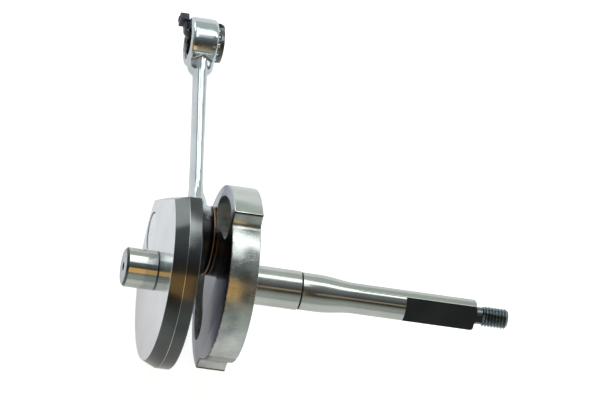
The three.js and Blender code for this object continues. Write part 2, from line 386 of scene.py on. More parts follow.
def finished(bm: bmesh.types.BMesh, name: str, placing: Placing,
             materials: Sequence[bpy.types.Material]) -> bpy.types.Object:
    """Makes the object of a finished solid and ties it to the CAD model.

    Args:
        bm: the solid in its own frame, in millimetres.
        name: the piece's name.
        placing: its place, body, slot and CAD nodes.
        materials: its materials, by face index.

    Returns:
        The object, at the origin, with its place in its mesh.
    """
    bmesh.ops.transform(bm, matrix=placing.matrix, verts=bm.verts)
    piece = as_object(bm, name)
    mesh = piece.data
    mesh.shade_smooth()
    mesh.set_sharp_from_angle(angle=SHARP_ANGLE)
    for material in materials:
        mesh.materials.append(material)
    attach(piece, placing.body)
    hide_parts(*placing.nodes)
    LOG.info("%s: %d faces, on %s", name, len(mesh.polygons), placing.body)
    return piece


# ---------------------------------------------------------------- shader groups

def new_group(name: str, inputs: dict[str, float], outputs: Sequence[str]) -> bpy.types.ShaderNodeTree:
    """Makes an empty shader node group.

    Args:
        name: the group's name.
        inputs: its number inputs and their usual values.
        outputs: its number outputs.

    Returns:
        The group, with its input and output nodes in place.
    """
    group = bpy.data.node_groups.new(name, "ShaderNodeTree")
    group.interface.new_socket("Vector", in_out="INPUT", socket_type="NodeSocketVector")
    for label, value in inputs.items():
        socket = group.interface.new_socket(label, in_out="INPUT", socket_type="NodeSocketFloat")
        socket.default_value = value
    for label in outputs:
        group.interface.new_socket(label, in_out="OUTPUT", socket_type="NodeSocketFloat")
    group.nodes.new("NodeGroupInput")
    group.nodes.new("NodeGroupOutput")
    return group


class Wiring:
    """Short calls for adding and joining shader nodes."""

    def __init__(self, tree: bpy.types.NodeTree) -> None:
        """Keeps the tree that is wired."""
        self.tree = tree

    def add(self, kind: str, **settings: object) -> bpy.types.Node:
        """Adds a node and sets its properties."""
        node = self.tree.nodes.new(kind)
        for label, value in settings.items():
            setattr(node, label, value)
        return node

    def join(self, source: bpy.types.NodeSocket, target: bpy.types.NodeSocket) -> None:
        """Links one socket to another."""
        self.tree.links.new(source, target)

    def feed(self, value: object, target: bpy.types.NodeSocket) -> None:
        """Links a socket to another, or sets a number on it."""
        if isinstance(value, bpy.types.NodeSocket):
            self.join(value, target)
        else:
            target.default_value = value

    def math(self, operation: str, first: object, second: object = 0.0) -> bpy.types.NodeSocket:
        """Adds a Math node.

        Args:
            operation: the node's operation.
            first: a socket or a number.
            second: a socket or a number.

        Returns:
            The result's socket.
        """
        node = self.add("ShaderNodeMath", operation=operation)
        for socket, value in zip(node.inputs, (first, second)):
            self.feed(value, socket)
        return node.outputs[0]

    def split(self, vector: bpy.types.NodeSocket) -> Sequence[bpy.types.NodeSocket]:
        """Returns a vector's X, Y and Z."""
        parts = self.add("ShaderNodeSeparateXYZ")
        self.join(vector, parts.inputs[0])
        return parts.outputs[:]

    def length(self, first: bpy.types.NodeSocket, second: bpy.types.NodeSocket) -> bpy.types.NodeSocket:
        """Returns the length that two sides at a right angle span."""
        squares = [self.math("MULTIPLY", side, side) for side in (first, second)]
        return self.math("SQRT", self.math("ADD", *squares))

    def noise(self, vector: bpy.types.NodeSocket, scale: object, detail: float = 3.0) -> bpy.types.NodeSocket:
        """Adds a noise texture and returns its factor."""
        node = self.add("ShaderNodeTexNoise")
        node.inputs["Detail"].default_value = detail
        self.join(vector, node.inputs["Vector"])
        self.feed(scale, node.inputs["Scale"])
        return node.outputs["Fac"]

    def remap(self, value: bpy.types.NodeSocket, low: float, high: float,
              to_low: object = 0.0, to_high: object = 1.0) -> bpy.types.NodeSocket:
        """Maps a value from one range to another, clamped."""
        node = self.add("ShaderNodeMapRange")
        self.join(value, node.inputs["Value"])
        node.inputs["From Min"].default_value = low
        node.inputs["From Max"].default_value = high
        self.feed(to_low, node.inputs["To Min"])
        self.feed(to_high, node.inputs["To Max"])
        return node.outputs["Result"]

    def blend(self, factor: bpy.types.NodeSocket, first: object, second: object) -> bpy.types.NodeSocket:
        """Mixes two colours by a factor and returns the colour."""
        node = self.add("ShaderNodeMix", data_type="RGBA")
        self.join(factor, node.inputs["Factor"])
        for socket, value in ((node.inputs[6], first), (node.inputs[7], second)):
            self.feed(value if isinstance(value, bpy.types.NodeSocket) else (*value, 1), socket)
        return node.outputs[2]


def lathe_marks() -> bpy.types.ShaderNodeTree:
    """Makes the group for the fine rings that turning and grinding leave round the X axis.

    Returns:
        A group whose Lines run round the axis, with lines per metre and a waviness along them.
    """
    group = new_group("lathe_marks", {"Lines": 4000.0, "Blotch": 90.0}, ("Lines", "Blotch"))
    wiring = Wiring(group)
    given, result = group.nodes["Group Input"], group.nodes["Group Output"]
    x, y, z = wiring.split(given.outputs["Vector"])
    rings = wiring.add("ShaderNodeCombineXYZ")
    wiring.join(x, rings.inputs[0])
    wiring.join(wiring.length(y, z), rings.inputs[1])
    wiring.join(wiring.noise(rings.outputs[0], given.outputs["Lines"], 5.0), result.inputs["Lines"])
    wiring.join(wiring.noise(given.outputs["Vector"], given.outputs["Blotch"], 4.0), result.inputs["Blotch"])
    return group


def handling_marks() -> bpy.types.ShaderNodeTree:
    """Makes the group for short random scratches and smudges.

    Returns:
        A group with a Scratches mask, a Smudges mask and their sum as a Height.
    """
    group = new_group("handling_marks", {"Scratches": 260.0, "Smudges": 60.0},
                      ("Scratches", "Smudges", "Height"))
    wiring = Wiring(group)
    given, result = group.nodes["Group Input"], group.nodes["Group Output"]
    total: Optional[bpy.types.NodeSocket] = None
    for index, turn in enumerate((0.4, 1.5, 2.6)):
        streak = wiring.add("ShaderNodeMapping")
        streak.inputs["Rotation"].default_value = (turn, turn * 0.7, turn * 1.3)
        streak.inputs["Scale"].default_value = (1.0, 9.0 + index, 14.0)
        wiring.join(given.outputs["Vector"], streak.inputs["Vector"])
        grain = wiring.noise(streak.outputs[0], given.outputs["Scratches"], 2.0)
        line = wiring.remap(grain, 0.66, 0.74)
        total = line if total is None else wiring.math("MAXIMUM", total, line)
    smudge = wiring.remap(wiring.noise(given.outputs["Vector"], given.outputs["Smudges"], 5.0), 0.45, 0.7)
    wiring.join(total, result.inputs["Scratches"])
    wiring.join(smudge, result.inputs["Smudges"])
    wiring.join(wiring.math("SUBTRACT", wiring.math("MULTIPLY", smudge, 0.3), total), result.inputs["Height"])
    return group


# ---------------------------------------------------------------- finishes

@dataclass(frozen=True)
class RoundShade:
    """Painted shade round a point on an axis along X, with a ragged border."""

    centre: Point
    reach: float
    border: float
    colour: Corner
    roughness: float
    grain: float = 420.0

    def mask(self, wiring: Wiring, place: bpy.types.NodeSocket) -> bpy.types.NodeSocket:
        """Returns how much of the painted shade there is, from 0 to 1.

        Args:
            wiring: the material's wiring.
            place: the surface point, in metres.

        Returns:
            The mask's socket.
        """
        _, y, z = wiring.split(place)
        across = wiring.math("SUBTRACT", y, self.centre[0])
        over = wiring.math("SUBTRACT", z, self.centre[1])
        grain = wiring.math("SUBTRACT", wiring.noise(place, self.grain, 5.0), 0.5)
        ragged = wiring.math("MULTIPLY", grain, 2 * self.border)
        distance = wiring.math("ADD", wiring.length(across, over), ragged)
        return wiring.remap(distance, self.reach, self.reach + self.border, 1.0, 0.0)


@dataclass(frozen=True)
class StepDirtAndShade:
    """Painted shade in the foot of a step across a rim and a dark line at its top, with oily dirt along the
    rim's one edge, where the foot's shade is thicker too.
    """

    angle: float
    radius: float
    top_radius: float
    edge_x: float
    run: float
    edge_run: float
    colour: Corner
    roughness: float
    foot_fade: Point = (0.0004, 0.0014)
    top_fade: Point = (0.0011, 0.0005)
    grain: float = 700.0

    def mask(self, wiring: Wiring, place: bpy.types.NodeSocket) -> bpy.types.NodeSocket:
        """Returns how much of the painted shade, the dark line and the dirt there is, from 0 to 1.

        Args:
            wiring: the material's wiring.
            place: the surface point, in metres.

        Returns:
            The mask's socket.
        """
        x, y, z = wiring.split(place)
        ragged = wiring.math("SUBTRACT", wiring.noise(place, self.grain, 5.0), 0.5)
        turn = wiring.math("SUBTRACT", wiring.math("ARCTAN2", z, y), self.angle)
        foot = wiring.math("ADD", wiring.math("MULTIPLY", turn, self.radius),
                           wiring.math("MULTIPLY", ragged, self.run))
        inward = wiring.math("SUBTRACT", x, self.edge_x)
        corner = wiring.remap(inward, 0.0, 4 * self.edge_run, 1.0, 0.4)
        height = wiring.length(y, z)
        low = wiring.remap(height, self.radius + self.foot_fade[0], self.radius + self.foot_fade[1], 1.0, 0.0)
        # A dark line along the top of the step.
        top = wiring.remap(height, self.top_radius - self.top_fade[0], self.top_radius - self.top_fade[1])
        # Painted shade in the step's foot, stronger towards the rim's edge.
        line = wiring.math("MULTIPLY", wiring.remap(foot, 0.3 * self.run, self.run, 1.0, 0.0),
                           wiring.math("MULTIPLY", corner, low))
        # Brown oily dirt along the rim's one edge.
        border = wiring.math("ADD", inward, wiring.math("MULTIPLY", ragged, 2 * self.edge_run))
        edge = wiring.remap(border, 0.3 * self.edge_run, self.edge_run, 0.85, 0.0)
        return wiring.math("MAXIMUM", wiring.math("MAXIMUM", line, edge), top)


@dataclass(frozen=True)
class SteelFinish:
    """A machined or polished steel, with rings from the lathe and marks from handling."""

    name: str
    colour: Corner
    shade: Corner
    roughness: Point
    lines: float = 4000.0
    line_depth: float = 0.1
    scratches: float = 260.0
    scratch_depth: float = 0.05
    smudges: float = 60.0
    bump: float = 0.00002
    # A mask of painted shade laid over the colour. On the valve step it carries oily dirt too.
    dirt_and_shade: Optional[RoundShade | StepDirtAndShade] = None

    def material(self, kit: "ShaderKit") -> bpy.types.Material:
        """Builds the material.

        Args:
            kit: the shared node groups.

        Returns:
            The steel's node material.
        """
        material, wiring, surface = kit.start(self.name)
        place = wiring.add("ShaderNodeTexCoord").outputs["Object"]
        lathe = kit.use(wiring, kit.lathe, place, {"Lines": self.lines, "Blotch": self.smudges})
        marks = kit.use(wiring, kit.marks, place, {"Scratches": self.scratches, "Smudges": self.smudges})
        low, high = self.roughness
        uneven = wiring.math("ADD", wiring.math("MULTIPLY", lathe.outputs["Lines"], 0.5),
                             wiring.math("MULTIPLY", marks.outputs["Smudges"], 0.5))
        rough = wiring.remap(uneven, 0.1, 0.85, low, high)
        scratched = wiring.math("ADD", rough, wiring.math("MULTIPLY", marks.outputs["Scratches"], 0.08))
        tone = wiring.remap(lathe.outputs["Blotch"], 0.35, 0.65)
        colour = wiring.blend(tone, self.shade, self.colour)
        # Where the mask is, the painted shade and the step's dirt darken the colour and set the roughness.
        if self.dirt_and_shade:
            dirt_and_shade_mask = self.dirt_and_shade.mask(wiring, place)
            colour = wiring.blend(dirt_and_shade_mask, colour, self.dirt_and_shade.colour)
            scratched = wiring.remap(dirt_and_shade_mask, 0.0, 1.0, scratched, self.dirt_and_shade.roughness)
        wiring.join(scratched, surface.inputs["Roughness"])
        wiring.join(colour, surface.inputs["Base Color"])
        height = wiring.math("ADD", wiring.math("MULTIPLY", lathe.outputs["Lines"], self.line_depth),
                             wiring.math("MULTIPLY", marks.outputs["Height"], self.scratch_depth))
        kit.bump(wiring, surface, height, self.bump)
        surface.inputs["Metallic"].default_value = 1.0
        return material


@dataclass(frozen=True)
class NylonFinish:
    """Moulded nylon with a faint grain."""

    name: str
    colour: Corner
    shade: Corner
    roughness: Point
    bump: float = 0.00003

    def material(self, kit: "ShaderKit") -> bpy.types.Material:
        """Builds the material.

        Args:
            kit: the shared node groups.

        Returns:
            The nylon's node material.
        """
        material, wiring, surface = kit.start(self.name)
        place = wiring.add("ShaderNodeTexCoord").outputs["Object"]
        marks = kit.use(wiring, kit.marks, place, {"Scratches": 500.0, "Smudges": 350.0})
        low, high = self.roughness
        wiring.join(wiring.remap(marks.outputs["Smudges"], 0.0, 1.0, low, high), surface.inputs["Roughness"])
        colour = wiring.blend(marks.outputs["Smudges"], self.shade, self.colour)
        wiring.join(colour, surface.inputs["Base Color"])
        kit.bump(wiring, surface, marks.outputs["Height"], self.bump)
        return material


class ShaderKit:
    """The shader groups that all finishes share."""

    def __init__(self) -> None:
        """Builds the groups once."""
        self.lathe = lathe_marks()
        self.marks = handling_marks()

    @staticmethod
    def start(name: str) -> tuple[bpy.types.Material, Wiring, bpy.types.Node]:
        """Makes an empty node material and returns it with its wiring and its surface shader."""
        material = bpy.data.materials.new(name)
        material.use_nodes = True
        return material, Wiring(material.node_tree), material.node_tree.nodes["Principled BSDF"]

    @staticmethod
    def use(wiring: Wiring, group: bpy.types.ShaderNodeTree, vector: bpy.types.NodeSocket,
            values: dict[str, float]) -> bpy.types.Node:
        """Places a group in a material.

        Args:
            wiring: the material's wiring.
            group: the group.
            vector: the coordinates it reads.
            values: its own values here.

        Returns:
            The group's node.
        """
        node = wiring.add("ShaderNodeGroup", node_tree=group)
        wiring.join(vector, node.inputs["Vector"])
        for label, value in values.items():
            node.inputs[label].default_value = value
        return node

    @staticmethod
    def bump(wiring: Wiring, surface: bpy.types.Node, height: bpy.types.NodeSocket, distance: float) -> None:
        """Feeds a height to the surface's normal through a Bump node."""
        node = wiring.add("ShaderNodeBump")
        node.inputs["Distance"].default_value = distance
        wiring.join(height, node.inputs["Height"])
        wiring.join(node.outputs["Normal"], surface.inputs["Normal"])


# Painted shade on the big end, which lies in shade between the webs. It is centred a little past the pin,
# away from the shank, so the shank side stays bright.
BIG_END_SHADE_CENTRE = PIN_CENTRE - Vector((0, math.cos(ROD_ANGLE), math.sin(ROD_ANGLE))) * 0.007
BIG_END_SHADE = RoundShade((BIG_END_SHADE_CENTRE.y, BIG_END_SHADE_CENTRE.z), reach=0.0165, border=0.003,
                   colour=(0.035, 0.036, 0.038), roughness=0.34)
# Painted shade in the valve step's foot and a dark line at its top, with brown oily dirt at the rim's edge.
GRIME_AND_SHADE = StepDirtAndShade(PIN_ANGLE + STEP_ANGLE, CUTAWAY_RADIUS * MM, VALVE_RADIUS * MM, VALVE_INNER * MM,
                  run=0.0026, edge_run=0.0006, colour=(0.075, 0.052, 0.03), roughness=0.4)

GROUND_STEEL = SteelFinish("ground_steel", (0.66, 0.70, 0.75), (0.58, 0.61, 0.66), (0.12, 0.24))
END_STEEL = SteelFinish("end_face_steel", (0.33, 0.37, 0.43), (0.27, 0.31, 0.37), (0.2, 0.32))
RIM_STEEL = SteelFinish("rim_steel", (0.11, 0.116, 0.116), (0.08, 0.085, 0.085), (0.12, 0.26),
                        line_depth=0.35)
# Bright journal steel. It is also laid along the left web's cone edge as a painted highlight line.
JOURNAL_AND_HIGHLIGHT_STEEL = SteelFinish("journal_and_highlight_steel", (0.52, 0.54, 0.51), (0.46, 0.48, 0.45), (0.1, 0.2),
                            line_depth=0.12)
POLISHED_STEEL = SteelFinish("polished_steel", (0.58, 0.62, 0.58), (0.43, 0.46, 0.44), (0.12, 0.26),
                             line_depth=0.05, scratches=140.0, scratch_depth=0.5)
# The brushed steel of the step and the tooth, with the step's painted shade and dirt.
BRUSHED_STEEL = SteelFinish("brushed_steel", (0.55, 0.585, 0.56), (0.33, 0.355, 0.345), (0.2, 0.4),
                            line_depth=0.3, scratches=260.0, scratch_depth=0.45, smudges=130.0, bump=0.00003,
                            dirt_and_shade=GRIME_AND_SHADE)
WEB_INSIDE = SteelFinish("web_inside_steel", (0.27, 0.28, 0.33), (0.20, 0.21, 0.25), (0.14, 0.26),
                         line_depth=0.06, scratch_depth=0.1)
POCKET_STEEL = SteelFinish("pocket_steel", (0.62, 0.66, 0.64), (0.42, 0.45, 0.44), (0.38, 0.55),
                           line_depth=0.0, scratches=420.0, scratch_depth=0.6, smudges=240.0, bump=0.00004)
# The rod's steel carries the painted shade on its big end.
ROD_STEEL = SteelFinish("rod_steel", (0.60, 0.65, 0.67), (0.50, 0.545, 0.565), (0.1, 0.2),
                        line_depth=0.0, scratches=180.0, scratch_depth=0.12, dirt_and_shade=BIG_END_SHADE)
PIN_STEEL = SteelFinish("pin_steel", (0.74, 0.77, 0.80), (0.68, 0.71, 0.74), (0.16, 0.28))
DARK_STEEL = SteelFinish("oiled_dark_steel", (0.045, 0.046, 0.047), (0.03, 0.031, 0.033), (0.3, 0.5),
                         line_depth=0.1, scratch_depth=0.1)
THREAD_STEEL = SteelFinish("oiled_thread_steel", (0.25, 0.29, 0.30), (0.13, 0.16, 0.17), (0.22, 0.38))
BRONZE = SteelFinish("washer_bronze", (0.30, 0.19, 0.12), (0.21, 0.14, 0.09), (0.3, 0.45))
CAGE_STEEL = SteelFinish("black_cage_steel", (0.16, 0.165, 0.17), (0.10, 0.105, 0.11), (0.2, 0.36))
ROLLER_STEEL = SteelFinish("roller_steel", (0.72, 0.77, 0.73), (0.64, 0.69, 0.65), (0.08, 0.14),
                           line_depth=0.02, scratch_depth=0.01)
TIE_NYLON = NylonFinish("black_nylon", (0.065, 0.085, 0.115), (0.03, 0.04, 0.058), (0.3, 0.46))


class Palette:
    """Every finish's material, built when it is first asked for."""

    def __init__(self) -> None:
        """Starts with the shared groups and no material."""
        self.kit = ShaderKit()
        self.made: dict[str, bpy.types.Material] = {}

    def __getitem__(self, finish: SteelFinish | NylonFinish) -> bpy.types.Material:
        """Returns a finish's material."""
        if finish.name not in self.made:
            self.made[finish.name] = finish.material(self.kit)
        return self.made[finish.name]


def dress(bm: bmesh.types.BMesh, finishes: Sequence[SteelFinish],
          choose: Callable[[bmesh.types.BMFace], SteelFinish]) -> None:
    """Gives each face of a solid its finish.

    Args:
        bm: the solid.
        finishes: its finishes, in the order of its materials.
        choose: tells a face's finish by where the face lies.
    """
    indices = {finish.name: index for index, finish in enumerate(finishes)}
    for face in bm.faces:
        face.material_index = indices[choose(face).name]


# ---------------------------------------------------------------- crank halves

def pin_hole(low: float, high: float) -> bmesh.types.BMesh:
    """Returns the tool for the crank pin's hole through a web that lies between two x values."""
    radius, chamfer, segments = 8.05, 0.2, 96
    return bore_tool((low, high), radius, chamfer, CRANK_RADIUS, segments)


@dataclass
class LeftCrankHalf:
    """The short ground stub and the full round web with its flat."""

    stub_end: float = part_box("left_crank_half")[0].x / MM
    inner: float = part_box("left_crank_half")[1].x / MM
    outer: float = -16.8
    cone: float = -11.5
    stub_radius: float = 7.7
    stub_chamfer: float = 0.9
    centre_radius: float = 1.65
    centre_pilot: float = 0.9
    centre_depth: float = 3.4
    web_radius: float = 37.2
    face_radius: float = 34.9
    flat_angle: float = math.radians(51.5)
    flat_distance: float = 29.4
    flat_face_distance: float = 27.7
    segments: int = 256

    def profile(self) -> list[Point]:
        """Returns the turning profile from the centre hole to the inner face."""
        return rounded([
            (self.stub_end + self.centre_depth, 0, 0),
            (self.stub_end + self.centre_depth - 0.4, self.centre_pilot, 0),
            (self.stub_end + 1.3, self.centre_pilot, 0),
            (self.stub_end, self.centre_radius, 0.1),
            (self.stub_end, self.stub_radius - self.stub_chamfer, 0.12),
            (self.stub_end + self.stub_chamfer, self.stub_radius, 0.2),
            (self.outer - 0.45, self.stub_radius, 0.08),
            (self.outer - 0.25, self.stub_radius - 0.12, 0.05),
            (self.outer, self.stub_radius + 0.1, 0.05),
            (self.outer, self.face_radius, 0.22),
            (self.cone, self.web_radius, 0.6),
            (self.inner - 0.45, self.web_radius, 0.12),
            (self.inner, self.web_radius - 0.45, 0.12),
            (self.inner, 0, 0),
        ])

    def cut_flat(self, bm: bmesh.types.BMesh) -> None:
        """Cuts the chord off the rim, square on the cylinder and leaning in on the cone."""
        outwards = Vector((0, math.cos(self.flat_angle), math.sin(self.flat_angle)))
        lean = math.atan2(self.flat_distance - self.flat_face_distance, self.cone - self.outer)
        tilted = outwards * math.cos(lean) - Vector((math.sin(lean), 0, 0))
        edge = outwards * self.flat_distance + Vector((self.cone, 0, 0))
        for normal in (outwards, tilted):
            cut = bmesh.ops.bisect_plane(bm, geom=bm.verts[:] + bm.edges[:] + bm.faces[:], plane_co=edge,
                                         plane_no=normal, clear_outer=True, dist=1e-5)
            rim = [item for item in cut["geom_cut"] if isinstance(item, bmesh.types.BMEdge)]
            bmesh.ops.contextual_create(bm, geom=rim)
        tidy(bm)

    def finish(self, face: bmesh.types.BMFace) -> SteelFinish:
        """Tells a face's finish by where it lies.

        Args:
            face: the face, in the crank's frame.

        Returns:
            Its finish.
        """
        middle, normal = face.calc_center_median(), face.normal
        radius = math.hypot(middle.y, middle.z)
        on_rim = radius > self.flat_distance - 4 and middle.x > self.outer + 0.02 and abs(normal.x) < 0.9
        on_stub = radius < self.stub_radius + 0.6 and middle.x < self.outer - 0.5 and abs(normal.x) < 0.5
        if middle.x > self.inner - 0.01:
            return WEB_INSIDE
        if radius < self.centre_radius + 0.05:
            return DARK_STEEL
        # A narrow band along the cone's edge on the dark rim takes the bright journal steel, as a painted
        # highlight line.
        if radius > self.web_radius - 0.1 and abs(middle.x - self.cone) < 0.09:
            return JOURNAL_AND_HIGHLIGHT_STEEL
        if radius < self.stub_radius + 0.2 and middle.x > self.outer - 0.4:
            return RIM_STEEL
        if middle.x < self.stub_end + self.stub_chamfer and abs(normal.x) > 0.3:
            return END_STEEL if abs(normal.x) > 0.95 else RIM_STEEL
        if on_rim:
            return RIM_STEEL
        return JOURNAL_AND_HIGHLIGHT_STEEL if on_stub else GROUND_STEEL

    def build(self, palette: Palette) -> bpy.types.Object:
        """Models and dresses the half.

        Args:
            palette: the materials.

        Returns:
            The finished piece.
        """
        bm = turned(self.profile(), self.segments)
        self.cut_flat(bm)
        bm = combined(bm, [pin_hole(self.outer, self.inner)], Cut.REMOVE)
        finishes = (GROUND_STEEL, RIM_STEEL, WEB_INSIDE, JOURNAL_AND_HIGHLIGHT_STEEL, END_STEEL, DARK_STEEL)
        dress(bm, finishes, self.finish)
        placing = Placing(CRANK_FRAME, "crank", "ground_steel", ("left_crank_half",))
        return finished(bm, "left_half", placing, [palette[finish] for finish in finishes])


@dataclass
class RightCrankHalf:
    """The rotary-valve web and the long stepped shaft with two flats and a thread."""

    inner: float = VALVE_INNER
    outer: float = 17.8
    web_radius: float = VALVE_RADIUS
    web_bevel: float = 0.45
    cut_radius: float = CUTAWAY_RADIUS
    cut_from: float = STEP_ANGLE
    cut_to: float = math.radians(250.5)
    step_fillet: float = 2.4
    tooth_fillet: float = 6.5
    pocket_radius: float = 25.5
    pocket_half: float = 7.0
    pocket_from: float = math.radians(40)
    pocket_to: float = math.radians(80)
    pocket_depth: float = 8.0
    pocket_floor_bevel: float = 1.6
    journal_radius: float = 7.7
    seal_start: float = 40.6
    seal_radius: float = 7.35
    taper_from: float = 47.8
    taper_to: float = 62.2
    thin_radius: float = 6.0
    shoulder: float = 110.2
    flats_from: float = 81.8
    flat_angle: float = math.radians(169.5)
    flat_distance: float = 3.05
    thread_from: float = 112.9
    thread_to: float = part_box("right_crank_half")[1].x / MM
    thread_radius: float = 3.95
    thread_depth: float = 0.68
    thread_pitch: float = 1.25
    thread_flank: float = 1.22
    thread_start: float = 0.5
    end_chamfer: float = 0.95
    end_chamfer_slope: float = 1.1
    relief_radius: float = 3.35
    web_segments: int = 360
    shaft_segments: int = 128

    def rim_radius(self, angle: float) -> float:
        """Gives the web's radius at an angle from the crank pin.

        Args:
            angle: the angle in radians, from 0 to a full turn.

        Returns:
            The radius in millimetres, with a concave fillet into each step.
        """
        if not self.cut_from < angle < self.cut_to:
            return self.web_radius
        step = (angle - self.cut_from) * self.cut_radius
        tooth = (self.cut_to - angle) * self.cut_radius
        rise = 0.0
        for run, fillet in ((step, self.step_fillet), (tooth, self.tooth_fillet)):
            if run < fillet:
                reach = fillet - run
                rise = max(rise, fillet - math.sqrt(fillet * fillet - reach * reach))
        return min(self.web_radius, self.cut_radius + rise)

    def web(self) -> bmesh.types.BMesh:
        """Returns the web with its stepped rim and softened edges."""
        bm = bmesh.new()
        upright = Matrix.Rotation(math.radians(90), 4, "Y")
        bmesh.ops.create_circle(bm, cap_ends=True, segments=self.web_segments, radius=self.web_radius,
                                matrix=Matrix.Translation((self.inner, 0, 0)) @ upright)
        half_step = math.pi / self.web_segments
        for vert in bm.verts:
            angle = (math.atan2(vert.co.z, vert.co.y) + half_step) % (2 * math.pi)
            radius = self.rim_radius(angle)
            vert.co.y, vert.co.z = radius * math.cos(angle), radius * math.sin(angle)
        grown = bmesh.ops.extrude_face_region(bm, geom=bm.faces[:])
        moved = [item for item in grown["geom"] if isinstance(item, bmesh.types.BMVert)]
        bmesh.ops.translate(bm, vec=(self.outer - self.inner, 0, 0), verts=moved)
        tidy(bm)
        soften(bm, self.web_bevel, 3)
        return bm

    def shaft_profile(self) -> list[Point]:
        """Returns the turning profile from inside the web to the thread's end."""
        steps = 28
        taper = []
        for step in range(steps + 1):
            part = step / steps
            ease = part * part * (3 - 2 * part)
            taper.append((self.taper_from + (self.taper_to - self.taper_from) * part,
                          self.seal_radius + (self.thin_radius - self.seal_radius) * ease))
        head = rounded([
            (self.inner + self.pocket_depth + 1, 0, 0),
            (self.inner + self.pocket_depth + 1, self.journal_radius, 0),
            (self.outer + 0.6, self.journal_radius, 0.1),
            (self.seal_start - 0.8, self.journal_radius, 0.15),
            (self.seal_start - 0.65, self.journal_radius - 0.5, 0.1),
            (self.seal_start - 0.1, self.journal_radius - 0.5, 0.1),
            (self.seal_start, self.seal_radius, 0.1),
            (self.taper_from - 0.4, self.seal_radius, 0),
        ])
        end = rounded([
            (self.taper_to + 0.5, self.thin_radius, 0),
            (self.shoulder, self.thin_radius, 1.5),
            (self.shoulder, self.relief_radius + 0.5, 0.2),
            (self.shoulder + 0.5, self.relief_radius, 0.2),
            (self.thread_from - 0.1, self.relief_radius, 0),
        ], 6)
        rings = int((self.thread_to - self.thread_from) / self.thread_pitch * 12)
        length = self.thread_to - self.thread_from
        thread = [(self.thread_from + length * ring / rings, self.thread_radius) for ring in range(rings + 1)]
        return head + taper + end + thread + [(self.thread_to, 0)]

    def cut_thread(self, bm: bmesh.types.BMesh) -> None:
        """Pulls the end's rings in along a right-hand helix, with a run-out and an end chamfer."""
        for vert in bm.verts:
            x, y, z = vert.co
            radius = math.hypot(y, z)
            if x < self.thread_from - 0.01 or radius < self.thread_radius - 0.05:
                continue
            turn = math.atan2(z, y) / (2 * math.pi)
            phase = ((x - self.thread_from) / self.thread_pitch - turn) % 1.0
            groove = max(0.0, 1.0 - abs(2 * phase - 1) * self.thread_flank)
            start = min(1.0, (x - self.thread_from) / self.thread_start)
            depth = self.thread_depth * min(1.0, groove)
            wanted = self.thread_radius - depth - 0.5 * (1 - start)
            limit = self.thread_radius - self.end_chamfer + (self.thread_to - x) * self.end_chamfer_slope
            wanted = min(wanted, limit)
            vert.co.y, vert.co.z = y * wanted / radius, z * wanted / radius

    def pocket(self, side: Side) -> bmesh.types.BMesh:
        """Makes the tool for one kidney pocket beside the crank pin.

        Args:
            side: which side of the pin.

        Returns:
            The tool, with a rounded floor.
        """
        low, high = self.pocket_from, self.pocket_to
        outer, inner = self.pocket_radius + self.pocket_half, self.pocket_radius - self.pocket_half
        axis = Vector((0, 0, 0))
        ends = [Vector((0, math.cos(angle), math.sin(angle))) * self.pocket_radius for angle in (low, high)]
        outline = arc(axis, outer, low, high - low)
        outline += arc(ends[1], self.pocket_half, high, math.pi)[1:-1]
        outline += arc(axis, inner, high, low - high)
        outline += arc(ends[0], self.pocket_half, low + math.pi, math.pi)[1:-1]
        mouth = self.inner - 1
        bm = bmesh.new()
        face = bm.faces.new([bm.verts.new((mouth, point.y, point.z * side.value)) for point in outline])
        grown = bmesh.ops.extrude_face_region(bm, geom=[face])
        moved = [item for item in grown["geom"] if isinstance(item, bmesh.types.BMVert)]
        bmesh.ops.translate(bm, vec=(self.pocket_depth + 1, 0, 0), verts=moved)
        floor = [edge for edge in bm.edges
                 if all(vert.co.x > self.inner + self.pocket_depth - 0.01 for vert in edge.verts)]
        bmesh.ops.bevel(bm, geom=floor, offset=self.pocket_floor_bevel, segments=5, profile=0.5,
                        affect="EDGES", material=-1)
        tidy(bm)
        return bm

    def flat_tool(self, turn: float) -> bmesh.types.BMesh:
        """Returns the block that mills one flat, at a turn from the crank pin."""
        length, deep = 32.0, 8.0
        centre = (self.flats_from + length / 2, self.flat_distance + deep / 2, 0)
        return block((length, deep, 4 * deep), centre, turn, 0.35)

    def finish(self, face: bmesh.types.BMFace) -> SteelFinish:
        """Tells a face's finish by where it lies.

        Args:
            face: the face, in the crank's frame.

        Returns:
            Its finish.
        """
        outwards = Vector((0, math.cos(self.flat_angle), math.sin(self.flat_angle)))
        slack = math.radians(0.6)
        middle, normal = face.calc_center_bounds(), face.normal
        height = abs(middle.dot(outwards))
        radius = math.hypot(middle.y, middle.z)
        angle = math.atan2(middle.z, middle.y) % (2 * math.pi)
        in_groove = (self.seal_start - 0.8 < middle.x < self.seal_start
                     and radius < self.journal_radius - 0.1)
        on_flat = self.flats_from - 0.2 < middle.x < self.shoulder and height < self.flat_distance + 0.3
        in_web = self.inner + 0.05 < middle.x < self.outer
        on_step_edge = abs(angle - self.cut_from) < 3 * slack and radius > self.web_radius - 0.5
        if middle.x > self.shoulder - 0.05:
            return THREAD_STEEL
        if in_groove or (on_flat and abs(normal.dot(outwards)) > 0.5):
            return DARK_STEEL
        # The bevel along the step's top edge takes the dark steel, as a dark line along it.
        if in_web and on_step_edge and normal.yz.dot(middle.yz) < 0.97 * radius:
            return DARK_STEEL
        if middle.x > self.outer + 0.2:
            return JOURNAL_AND_HIGHLIGHT_STEEL
        if in_web and abs(normal.x) < 0.9 and self.cut_from - slack < angle < self.cut_to + slack:
            return BRUSHED_STEEL
        if in_web and radius < self.pocket_radius + self.pocket_half + 1:
            return POCKET_STEEL
        return WEB_INSIDE if middle.x < self.inner + 0.1 else POLISHED_STEEL

